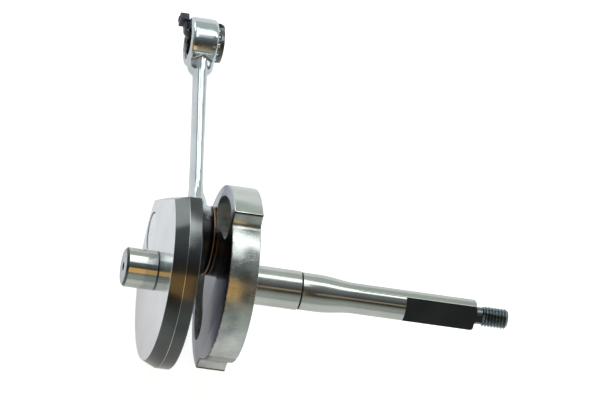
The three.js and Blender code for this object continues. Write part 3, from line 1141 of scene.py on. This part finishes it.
    def build(self, palette: Palette) -> bpy.types.Object:
        """Models and dresses the half.

        Args:
            palette: the materials.

        Returns:
            The finished piece.
        """
        shaft = turned(self.shaft_profile(), self.shaft_segments)
        self.cut_thread(shaft)
        bm = combined(shaft, [self.web()], Cut.JOIN)
        tools = [self.pocket(side) for side in Side]
        tools += [self.flat_tool(self.flat_angle + half_turn) for half_turn in (0, math.pi)]
        tools.append(pin_hole(self.inner, self.outer))
        bm = combined(bm, tools, Cut.REMOVE)
        finishes = (POLISHED_STEEL, JOURNAL_AND_HIGHLIGHT_STEEL, DARK_STEEL, THREAD_STEEL, WEB_INSIDE, POCKET_STEEL,
                    BRUSHED_STEEL)
        dress(bm, finishes, self.finish)
        placing = Placing(CRANK_FRAME, "crank", "polished_steel", ("right_crank_half",))
        return finished(bm, "right_half", placing, [palette[finish] for finish in finishes])


# ---------------------------------------------------------------- crank pin and big end

@dataclass
class CrankPin:
    """The ground pin pressed through both webs."""

    low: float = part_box("crank_pin")[0].x / MM
    high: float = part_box("crank_pin")[1].x / MM
    radius: float = 8.0
    chamfer: float = 0.5

    def build(self, palette: Palette) -> bpy.types.Object:
        """Models and dresses the pin, with a turning centre in each end."""
        dimple, depth = 1.3, 0.9
        bm = turned(rounded([
            (self.low + depth, 0, 0), (self.low, dimple, 0.1),
            (self.low, self.radius - self.chamfer, 0.1), (self.low + self.chamfer, self.radius, 0.15),
            (self.high - self.chamfer, self.radius, 0.15), (self.high, self.radius - self.chamfer, 0.1),
            (self.high, dimple, 0.1), (self.high - depth, 0, 0),
        ]), 96)
        placing = Placing(PIN_FRAME, "crank", "pin_steel", ("crank_pin",))
        return finished(bm, "crank_pin_piece", placing, [palette[PIN_STEEL]])


@dataclass
class ThrustWashers:
    """The two bronze washers that keep the rod off the webs."""

    inner: float = 8.15
    outer: float = 13.5
    rounding: float = 0.4

    def build(self, palette: Palette) -> list[bpy.types.Object]:
        """Models and dresses both washers."""
        made = []
        for side in Side:
            label = side.name.lower()
            node = f"{label}_thrust_washer"
            low, high = (corner.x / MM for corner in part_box(node))
            bm = turned(rounded([
                (low, self.inner, 0), (low, self.inner + 0.6, 0), (low, self.outer, self.rounding),
                (high, self.outer, self.rounding), (high, self.inner, 0), (low, self.inner, 0),
            ])[:-1], 96, closed=True)
            placing = Placing(PIN_FRAME, f"{label}_washer", "bronze", (node,))
            made.append(finished(bm, f"{label}_washer_piece", placing, [palette[BRONZE]]))
        return made


@dataclass
class NeedleBearing:
    """A windowed cage and its ring of rollers."""

    name: str
    body: str
    matrix: Matrix
    inner: float
    outer: float
    pitch_radius: float
    roller_radius: float
    roller_length: float
    count: int = 12
    steps_per_window: int = 8
    bar_steps: int = 3
    end_gap: float = 0.2
    side_gap: float = 0.06
    edge_bevel: float = 0.12

    @property
    def span(self) -> Point:
        """The cage's lowest and highest x."""
        low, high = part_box(f"{self.name}_cage")
        return low.x / MM, high.x / MM

    def cage(self) -> bmesh.types.BMesh:
        """Returns the cage: a tube wall, its windows taken out, thickened and softened."""
        low, high = self.span
        middle, half = (low + high) / 2, self.roller_length / 2 + self.end_gap
        steps = self.count * (self.steps_per_window + self.bar_steps)
        bm = bmesh.new()
        wall = (self.inner + self.outer) / 2
        verts = [bm.verts.new((x, wall, 0)) for x in (low, middle - half, middle + half, high)]
        edges = [bm.edges.new(pair) for pair in zip(verts, verts[1:])]
        bmesh.ops.spin(bm, geom=verts + edges, cent=(0, 0, 0), axis=(1, 0, 0), angle=2 * math.pi,
                       steps=steps, use_merge=True)
        window = math.asin((self.roller_radius + self.side_gap) / self.pitch_radius)
        bar = math.pi / self.count - window
        for vert in bm.verts:
            step = round(math.atan2(vert.co.z, vert.co.y) / (2 * math.pi) * steps) % steps
            slot, part = divmod(step + self.steps_per_window // 2, self.steps_per_window + self.bar_steps)
            centre = 2 * math.pi * slot / self.count
            if part <= self.steps_per_window:
                angle = centre - window + 2 * window * part / self.steps_per_window
            else:
                angle = centre + window + 2 * bar * (part - self.steps_per_window) / self.bar_steps
            vert.co.y, vert.co.z = wall * math.cos(angle), wall * math.sin(angle)
        gone = []
        for face in bm.faces:
            centre = face.calc_center_median()
            angle = math.atan2(centre.z, centre.y)
            off = abs((angle * self.count / (2 * math.pi) + 0.5) % 1.0 - 0.5) * 2 * math.pi / self.count
            if abs(centre.x - middle) < half and off < window:
                gone.append(face)
        bmesh.ops.delete(bm, geom=gone, context="FACES")
        bmesh.ops.recalc_face_normals(bm, faces=bm.faces)
        work = as_object(bm, "cage")
        shell = work.modifiers.new("wall", "SOLIDIFY")
        shell.thickness = self.outer - self.inner
        shell.offset = 0.0
        shell.use_even_offset = True
        edge = work.modifiers.new("edge", "BEVEL")
        edge.width = self.edge_bevel
        edge.segments = 2
        edge.limit_method = "ANGLE"
        edge.angle_limit = math.radians(50)
        result = settled(work)
        bmesh.ops.recalc_face_normals(result, faces=result.faces)
        return result

    def roller(self, index: int) -> bmesh.types.BMesh:
        """Returns one roller with rounded ends, in its place round the cage."""
        low, high = self.span
        middle, half = (low + high) / 2, self.roller_length / 2
        bm = turned(rounded([
            (middle - half, 0, 0), (middle - half, self.roller_radius, 0.3),
            (middle + half, self.roller_radius, 0.3), (middle + half, 0, 0),
        ]), 40)
        turn = Matrix.Rotation(2 * math.pi * index / self.count, 4, "X")
        bmesh.ops.transform(bm, matrix=turn @ Matrix.Translation((0, self.pitch_radius, 0)), verts=bm.verts)
        return bm

    def build(self, palette: Palette) -> list[bpy.types.Object]:
        """Models and dresses the cage and every roller."""
        placing = Placing(self.matrix, self.body, "dark_cage", (f"{self.name}_cage",))
        made = [finished(self.cage(), f"{self.name}_cage_piece", placing, [palette[CAGE_STEEL]])]
        for index in range(self.count):
            node = f"{self.name}_roller_{index + 1:02d}"
            placing = Placing(self.matrix, self.body, "roller_steel", (node,))
            made.append(finished(self.roller(index), f"{node}_piece", placing, [palette[ROLLER_STEEL]]))
        return made


# ---------------------------------------------------------------- connecting rod

@dataclass
class ConnectingRod:
    """The polished forging: big end, oval shank and small end."""

    length: float = ROD_LENGTH
    big_outer: float = 13.6
    big_bore: float = 11.0
    big_half: float = 4.8
    small_outer: float = 9.9
    small_bore: float = 7.0
    small_half: float = 5.4
    big_fillet: float = 0.7
    small_fillet: float = 1.6
    big_chamfer: float = 0.35
    small_chamfer: float = 0.4
    end_segments: int = 128
    voxel: float = 0.3
    blend_rounds: int = 14
    blend_strength: float = 0.6
    section_points: int = 48
    squareness: float = 2.4
    shank: tuple[Corner, ...] = (
        (8.0, 4.35, 9.5), (12.5, 4.35, 8.6), (15.5, 4.0, 7.2), (17.5, 3.2, 6.4), (19.5, 2.7, 5.9),
        (23.0, 2.42, 5.5), (40.0, 2.45, 5.1), (60.0, 2.6, 4.75), (73.0, 2.6, 4.65), (77.0, 2.7, 5.0),
        (80.0, 2.8, 5.5),
    )
    neck: tuple[Corner, ...] = (
        (72.9, 2.4, 3.5), (73.4, 3.0, 3.7), (73.9, 3.9, 3.85), (74.8, 4.7, 4.0), (76.2, 5.1, 4.2),
        (78.0, 5.25, 4.6), (80.0, 5.3, 5.0), (81.5, 5.3, 5.2),
    )

    def section(self, y: float, half_thick: float, half_wide: float) -> list[Vector]:
        """Returns one cross-section of the shank, an oval with slightly flattened sides."""
        points = []
        for step in range(self.section_points):
            angle = 2 * math.pi * step / self.section_points
            across, along = math.cos(angle), math.sin(angle)
            power = 2 / self.squareness
            points.append(Vector((
                half_thick * math.copysign(abs(across) ** power, across),
                y,
                half_wide * math.copysign(abs(along) ** power, along),
            )))
        return points

    def eye(self, y: float, outer: float, half: float, fillet: float) -> bmesh.types.BMesh:
        """Returns one end's solid round boss."""
        bm = turned(rounded([
            (-half, 0, 0), (-half, outer, fillet), (half, outer, fillet), (half, 0, 0),
        ], 8), self.end_segments)
        bmesh.ops.translate(bm, vec=(0, y, 0), verts=bm.verts)
        return bm

    def build(self, palette: Palette) -> bpy.types.Object:
        """Models the forging as one blended solid, bores it and dresses it.

        Args:
            palette: the materials.

        Returns:
            The finished piece.
        """
        shank = loft([self.section(*station) for station in self.shank])
        ends = [loft([self.section(*station) for station in self.neck]),
                self.eye(0, self.big_outer, self.big_half, self.big_fillet),
                self.eye(self.length, self.small_outer, self.small_half, self.small_fillet)]
        blank = as_object(combined(shank, ends, Cut.JOIN), "blank")
        remesh = blank.modifiers.new("blend", "REMESH")
        remesh.mode = "VOXEL"
        remesh.voxel_size = self.voxel
        smooth = blank.modifiers.new("smooth", "SMOOTH")
        smooth.factor = self.blend_strength
        smooth.iterations = self.blend_rounds
        tools = [
            bore_tool((-self.big_half, self.big_half), self.big_bore, self.big_chamfer, 0.0,
                      self.end_segments),
            bore_tool((-self.small_half, self.small_half), self.small_bore, self.small_chamfer, self.length,
                      self.end_segments),
        ]
        bm = combined(settled(blank), tools, Cut.REMOVE)
        placing = Placing(ROD_FRAME, "conrod", "rod_steel", ("connecting_rod",))
        return finished(bm, "conrod_forging", placing, [palette[ROD_STEEL]])


# ---------------------------------------------------------------- transit tie

@dataclass
class TransitTie:
    """The nylon tie through the small-end bearing: a toothed strap, a slotted head and a cut tail."""

    width: float = 2.5
    thick: float = 1.1
    inner_y: float = 4.1
    outer_y: float = 10.7
    left_x: float = -6.2
    right_x: float = 9.1
    corner: float = 1.4
    strap_chamfer: float = 0.18
    head: Corner = (3.6, 3.4, 4.8)
    head_x: float = -6.5
    head_y: float = 11.6
    head_bevel: float = 0.35
    slot: Corner = (1.0, 1.5, 3.0)
    slot_bevel: float = 0.12
    slot_lift: float = 0.35
    tail: float = 0.4
    tail_sunk: float = 0.5
    tail_bevel: float = 0.15
    tooth: float = 0.12
    pitch: float = 0.45

    def path(self) -> list[tuple[Vector, Vector]]:
        """Returns points along the strap's middle line, each with its outward direction."""
        middle = Vector(((self.left_x + self.right_x) / 2, (self.inner_y + self.outer_y) / 2))
        half = Vector(((self.right_x - self.left_x) / 2, (self.outer_y - self.inner_y) / 2))
        straight = half - Vector((self.corner, self.corner))
        runs = []
        turns = ((1, 1), (-1, 1), (-1, -1), (1, -1))
        for index, (sign_x, sign_y) in enumerate(turns):
            centre = middle + Vector((sign_x * straight.x, sign_y * straight.y))
            start = index * math.pi / 2
            for step in range(5):
                angle = start + math.pi / 2 * step / 4
                outward = Vector((math.cos(angle), math.sin(angle)))
                runs.append((centre + outward * self.corner, outward))
            following = turns[(index + 1) % 4]
            here, outward = runs[-1]
            target = middle + Vector((following[0] * straight.x, following[1] * straight.y)) \
                + outward * self.corner
            count = max(2, round((target - here).length / self.pitch))
            for step in range(1, count):
                runs.append((here.lerp(target, step / count), outward))
        return runs

    def strap(self) -> bmesh.types.BMesh:
        """Returns the closed strap, with its teeth on the inner face."""
        rings = []
        edge = self.strap_chamfer
        for index, (point, outward) in enumerate(self.path()):
            inside = -self.thick / 2 + (self.tooth if index % 2 else 0.0)
            half = self.width / 2
            ring = []
            section = (
                (-half + edge, inside), (half - edge, inside),
                (half, inside + edge), (half, self.thick / 2 - edge),
                (half - edge, self.thick / 2), (-half + edge, self.thick / 2),
                (-half, self.thick / 2 - edge), (-half, inside + edge),
            )
            for across, lift in section:
                place = point + outward * lift
                ring.append(Vector((place.x, place.y, across)))
            rings.append(ring)
        return loft(rings, closed=True)

    def head_block(self) -> bmesh.types.BMesh:
        """Returns the head, with the strap's slot sunk in its end."""
        bm = block(self.head, (self.head_x, self.head_y, 0), bevel=self.head_bevel)
        slots = []
        for side in Side:
            mouth = (self.head_x + side.value * self.head[0] / 2, self.head_y + self.slot_lift, 0)
            slots.append(block(self.slot, mouth, bevel=self.slot_bevel))
        return combined(bm, slots, Cut.REMOVE)

    def build(self, palette: Palette) -> bpy.types.Object:
        """Models and dresses the tie as one moulding."""
        tail_x = self.head_x - self.head[0] / 2 - self.tail / 2 + self.tail_sunk / 2
        tail = block((self.tail + self.tail_sunk, self.thick * 0.8, self.width),
                     (tail_x, self.head_y + self.slot_lift, 0), bevel=self.tail_bevel)
        bm = combined(self.strap(), [self.head_block(), tail], Cut.JOIN)
        placing = Placing(TIE_FRAME, "conrod", "nylon", ("bearing_tie",))
        return finished(bm, "transit_tie", placing, [palette[TIE_NYLON]])


# ---------------------------------------------------------------- studio

@dataclass(frozen=True)
class Softbox:
    """A soft light that faces the main axis.

    Attributes:
        name: its name.
        angles: its two long edges' directions from +Y towards +Z, in degrees.
        spread: the x of its two ends, in metres.
        distance: how far it is from the axis, in metres.
        radiance: how bright its face is, where 1 is paper white.
        colour: its light's colour.
    """

    name: str
    angles: Point
    spread: Point
    distance: float
    radiance: float
    colour: Corner = (1.0, 1.0, 1.0)

    def hang(self) -> None:
        """Hangs the light, hidden from the camera."""
        middle = math.radians(sum(self.angles) / 2)
        width = 2 * self.distance * math.tan(math.radians(self.angles[1] - self.angles[0]) / 2)
        length = self.spread[1] - self.spread[0]
        data = bpy.data.lights.new(self.name, "AREA")
        data.shape = "RECTANGLE"
        data.size, data.size_y = length, width
        data.energy = math.pi * length * width * self.radiance
        data.color = self.colour
        outwards = Vector((0, math.cos(middle), math.sin(middle)))
        axes = Matrix((Vector((1, 0, 0)), outwards.cross(Vector((1, 0, 0))), outwards)).transposed()
        light = bpy.data.objects.new(self.name, data)
        place = outwards * self.distance + Vector((sum(self.spread) / 2, 0, 0))
        light.matrix_world = Matrix.Translation(place) @ axes.to_4x4()
        light.visible_camera = False
        bpy.context.collection.objects.link(light)


SOFTBOXES = (
    Softbox("strip_softbox", (43, 56), (0.02, 0.95), 0.7, 1.5),
    Softbox("strip_edge_softbox", (39, 61), (0.02, 0.95), 0.72, 1.1),
    Softbox("stub_softbox", (33, 76), (-0.1, 0.1165), 0.7, 1.8),
    Softbox("cone_softbox", (-12, 44), (-0.62, -0.22), 0.7, 2.0),
    Softbox("warm_reflector", (110, 136), (-0.35, 0.052), 0.25, 0.95, (1.0, 0.58, 0.18)),
    Softbox("shaft_reflector", (110, 119), (0.166, 0.95), 0.7, 0.42, (1.0, 0.78, 0.5)),
)


@dataclass(frozen=True)
class Studio:
    """The floor, the light tent and the long-lens camera."""

    target: Corner = (0.0357, 0.0327, 0.0119)
    elevation: float = math.radians(70)
    turn: float = math.asin(0.19)
    roll: float = math.radians(8.0)
    view_width: float = 0.2320
    lens: float = 800.0
    sensor: float = 36.0
    floor_size: float = 12.0
    floor_glow: float = 0.38
    floor_glow_seen: float = 0.8
    backdrop: Corner = (0.98, 0.98, 0.98)
    leftward: Point = (-0.15, -0.5)
    tent_ahead: tuple[tuple[float, Corner], ...] = (
        (0, (0.60, 0.66, 0.62)), (20, (0.60, 0.66, 0.62)), (34, (0.54, 0.60, 0.57)),
        (60, (0.26, 0.29, 0.30)), (84, (0.19, 0.21, 0.22)), (100, (0.10, 0.105, 0.10)),
        (112, (0.07, 0.068, 0.06)), (124, (0.05, 0.048, 0.044)), (132, (0.09, 0.09, 0.08)),
        (142, (0.32, 0.34, 0.31)), (158, (0.46, 0.50, 0.46)), (200, (0.46, 0.50, 0.47)),
        (270, (0.45, 0.49, 0.48)), (359, (0.60, 0.66, 0.62)),
    )
    tent_left: tuple[tuple[float, Corner], ...] = (
        (0, (0.42, 0.48, 0.50)), (20, (0.42, 0.48, 0.50)), (50, (0.46, 0.52, 0.54)),
        (68, (0.38, 0.41, 0.43)), (88, (0.18, 0.19, 0.20)), (100, (0.15, 0.13, 0.10)),
        (118, (0.17, 0.13, 0.09)), (135, (0.16, 0.13, 0.09)), (152, (0.20, 0.18, 0.15)),
        (168, (0.42, 0.45, 0.43)), (200, (0.56, 0.61, 0.60)), (270, (0.50, 0.54, 0.55)),
        (359, (0.42, 0.48, 0.50)),
    )

    def axes(self) -> Matrix:
        """Returns the camera's right, up and backward directions as a rotation.

        Returns:
            The matrix whose columns are those directions.
        """
        along = Vector((1, 0, 0))
        up = Vector((0, math.sin(self.elevation), math.cos(self.elevation)))
        near = Vector((0, -math.cos(self.elevation), math.sin(self.elevation)))
        cosine, sine = math.cos(self.turn), math.sin(self.turn)
        cos_roll, sin_roll = math.cos(self.roll), math.sin(self.roll)
        across = along * cosine + near * sine
        right = across * cos_roll + up * sin_roll
        over = -across * sin_roll + up * cos_roll
        back = -along * sine + near * cosine
        return Matrix((right, over, back)).transposed()

    def camera(self) -> None:
        """Sets the camera."""
        data = bpy.data.cameras.new("camera")
        data.lens = self.lens
        data.sensor_width = self.sensor
        axes = self.axes()
        distance = self.view_width * self.lens / self.sensor
        data.clip_start = distance * 0.1
        data.clip_end = distance * 4
        camera = bpy.data.objects.new("camera", data)
        place = Vector(self.target) + axes.col[2] * distance
        camera.matrix_world = Matrix.Translation(place) @ axes.to_4x4()
        bpy.context.collection.objects.link(camera)
        bpy.context.scene.camera = camera

    def floor(self) -> None:
        """Lays the plain pale floor under the webs."""
        bm = bmesh.new()
        bmesh.ops.create_grid(bm, x_segments=2, y_segments=2, size=self.floor_size / 2)
        bmesh.ops.translate(bm, vec=(0, 0, CAD_BOX[0].z), verts=bm.verts)
        material, wiring, surface = ShaderKit.start("pale_floor")
        surface.inputs["Base Color"].default_value = (0.88, 0.9, 0.93, 1)
        surface.inputs["Roughness"].default_value = 0.9
        surface.inputs["Specular IOR Level"].default_value = 0.0
        surface.inputs["Emission Color"].default_value = (0.96, 0.98, 1.0, 1)
        seen = wiring.add("ShaderNodeLightPath").outputs["Is Camera Ray"]
        glow = wiring.remap(seen, 0.0, 1.0, self.floor_glow, self.floor_glow_seen)
        wiring.join(glow, surface.inputs["Emission Strength"])
        floor = as_object(bm, "floor")
        floor.data.materials.append(material)

    def tent(self) -> None:
        """Lights the scene all round: pale cloth, a dark gap above the front, and a pale front."""
        world = bpy.data.worlds.new("tent")
        world.use_nodes = True
        bpy.context.scene.world = world
        wiring = Wiring(world.node_tree)
        shade = world.node_tree.nodes["Background"]
        place = wiring.add("ShaderNodeTexCoord").outputs["Generated"]
        x, y, z = wiring.split(place)
        turn = wiring.math("MULTIPLY", wiring.math("ARCTAN2", z, y), 1 / (2 * math.pi))
        wrapped = wiring.math("FRACT", wiring.math("ADD", turn, 1.0))
        ahead = self.ring(wiring, wrapped, self.tent_ahead)
        left = self.ring(wiring, wrapped, self.tent_left)
        aside = wiring.remap(x, *self.leftward)
        seen = wiring.add("ShaderNodeLightPath").outputs["Is Camera Ray"]
        colour = wiring.blend(aside, ahead, left)
        wiring.join(wiring.blend(seen, colour, self.backdrop), shade.inputs["Color"])

    @staticmethod
    def ring(wiring: Wiring, position: bpy.types.NodeSocket,
             stops: Sequence[tuple[float, Corner]]) -> bpy.types.NodeSocket:
        """Adds a colour ramp that runs once round the main axis.

        Args:
            wiring: the world's wiring.
            position: the place on the turn, from 0 to 1.
            stops: (degrees, colour) pairs.

        Returns:
            The ramp's colour.
        """
        ramp = wiring.add("ShaderNodeValToRGB")
        wiring.join(position, ramp.inputs["Fac"])
        elements = ramp.color_ramp.elements
        for index, (degrees, colour) in enumerate(stops):
            element = elements[index] if index < 2 else elements.new(degrees / 360)
            element.position = degrees / 360
            element.color = (*colour, 1)
        return ramp.outputs["Color"]

    def build(self) -> None:
        """Sets the floor, the lights and the camera."""
        self.floor()
        self.tent()
        for softbox in SOFTBOXES:
            softbox.hang()
        self.camera()
        bpy.context.scene.view_settings.view_transform = "Standard"


# ---------------------------------------------------------------- assembly


def main() -> None:
    """Builds the whole crankshaft and its studio."""
    logging.basicConfig(level=logging.INFO, format="%(name)s %(message)s")
    palette = Palette()
    LeftCrankHalf().build(palette)
    RightCrankHalf().build(palette)
    CrankPin().build(palette)
    ThrustWashers().build(palette)
    NeedleBearing("big_end", "big_end_bearing", PIN_FRAME, inner=8.5, outer=10.6, pitch_radius=9.5,
                  roller_radius=1.44, roller_length=6.6).build(palette)
    ConnectingRod().build(palette)
    NeedleBearing("small_end", "small_end_bearing", EYE_FRAME, inner=5.25, outer=6.85, pitch_radius=6.0,
                  roller_radius=0.94, roller_length=9.6).build(palette)
    TransitTie().build(palette)
    Studio().build()


if __name__ == "__main__":
    main()
